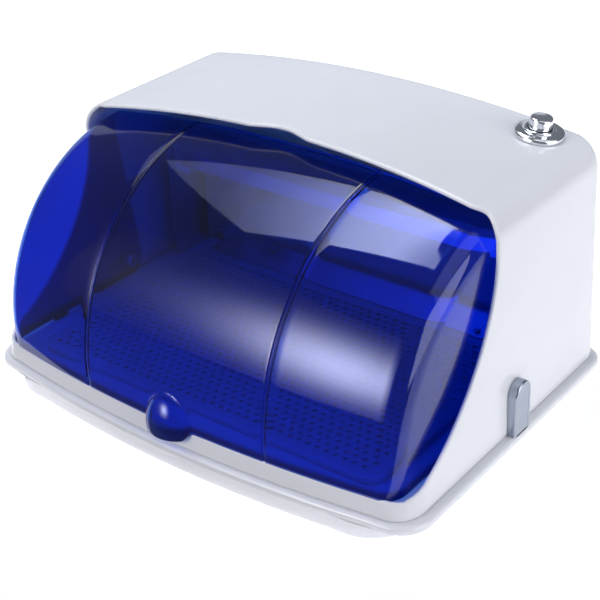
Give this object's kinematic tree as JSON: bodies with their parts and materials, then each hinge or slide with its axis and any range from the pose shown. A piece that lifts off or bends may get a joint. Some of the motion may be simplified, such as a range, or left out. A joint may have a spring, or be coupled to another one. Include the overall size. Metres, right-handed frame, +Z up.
{
  "type": "uv sterilizer cabinet",
  "caption": "Benchtop ultraviolet sterilizing cabinet: white hood on a base tray, see-through blue barrel lid that swings up into the hood, lift-out perforated tray and a rear lamp.",
  "frame": {"origin": "middle of the footprint at bench level, under the feet", "axes": "+X right seen from the front, +Y towards the back wall, +Z up; the lid's pivot line runs along X"},
  "size_m": [0.366, 0.27, 0.1969],
  "materials": {
    "white_plastic": "glossy moulded white",
    "blue_acrylic": "clear deep blue, polished",
    "chrome": "bright chrome plating",
    "steel": "plain and zinc-plated steel",
    "rubber": "matt black",
    "nylon": "natural nylon",
    "bright_aluminium": "polished reflector sheet",
    "lamp_glass": "clear quartz glass",
    "holder_plastic": "ivory moulded",
    "ballast_case": "plain pale case",
    "switch_plastic": "black moulded",
    "wire_red": "red insulation",
    "wire_black": "black insulation",
    "wire_white": "white insulation"
  },
  "bodies": {
    "root": {"ballast": "ballast_case", "ballast_clip_left": "steel", "ballast_clip_right": "steel", "ballast_screw_left": "steel", "ballast_screw_right": "steel", "base_tray": "white_plastic", "case_screw_left": "steel", "case_screw_right": "steel", "cord_gland": "rubber", "floor_panel": "white_plastic", "foot_front_left": "rubber", "foot_front_right": "rubber", "foot_rear_left": "rubber", "foot_rear_right": "rubber", "hinge_pin_left": "steel", "hinge_pin_right": "steel", "hinge_plate_left": "chrome", "hinge_plate_right": "chrome", "housing": "white_plastic", "lamp_bracket_left": "steel", "lamp_bracket_right": "steel", "lamp_cap_left": "bright_aluminium", "lamp_cap_right": "bright_aluminium", "lamp_holder_left": "holder_plastic", "lamp_holder_right": "holder_plastic", "reflector": "bright_aluminium", "reflector_screw_left": "steel", "reflector_screw_right": "steel", "switch_bezel": "chrome", "switch_body": "switch_plastic", "switch_nut": "steel", "terminal_block": "holder_plastic", "uv_tube": "lamp_glass", "wire_lamp_left": "wire_white", "wire_lamp_right": "wire_white", "wire_neutral": "wire_white", "wire_switch_live": "wire_red", "wire_switch_return": "wire_black"},
    "lid": {"lid": "blue_acrylic", "hinge_bush_left": "nylon", "hinge_bush_right": "nylon", "lid_bumper_left": "rubber", "lid_bumper_right": "rubber"},
    "tray": {"perforated_tray": "steel"},
    "power_button": {"power_button": "chrome"}
  },
  "joints": [
    {"name": "lid_hinge", "type": "hinge", "parent": "root", "child": "lid", "pos_m": [0, 0.016, 0.044], "axis": [-1, 0, 0], "range_deg": [0, 54]},
    {"name": "button_press", "type": "slide", "parent": "root", "child": "power_button", "axis": [0.1318, 0, 0.9913], "range_m": [-0.0025, 0], "stiffness_N_per_m": 400},
    {"name": "tray_lift", "type": "slide", "parent": "root", "child": "tray", "axis": [0, 0, 1], "range_m": [0, 0.04]}
  ]
}
